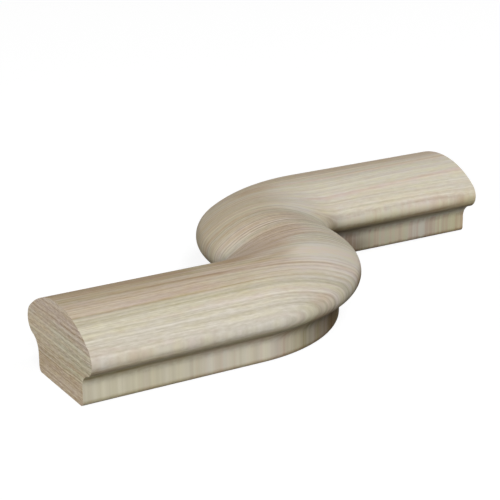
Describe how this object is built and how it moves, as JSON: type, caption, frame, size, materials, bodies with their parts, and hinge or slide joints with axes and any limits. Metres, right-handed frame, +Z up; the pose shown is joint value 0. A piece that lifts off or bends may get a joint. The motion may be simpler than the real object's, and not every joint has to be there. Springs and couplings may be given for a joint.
{
  "type": "s-turn handrail fitting",
  "caption": "Short wooden handrail with a low mushroom crown over a narrower foot, swept through an S in plan between square ends, to carry a rail sideways past a step in the wall.",
  "frame": {"origin": "on the flat underside, under the middle of the S, where one bend turns into the other", "axes": "+X along both legs, from the near end to the far end; +Y across, towards the far leg; +Z up, out of the crown"},
  "size_m": [0.2414, 0.146, 0.034],
  "materials": {
    "wood": "sanded smooth, pale open-grained hardwood with a low satin"
  },
  "bodies": {
    "root": {"s_turn_fitting": "wood"}
  },
  "joints": []
}
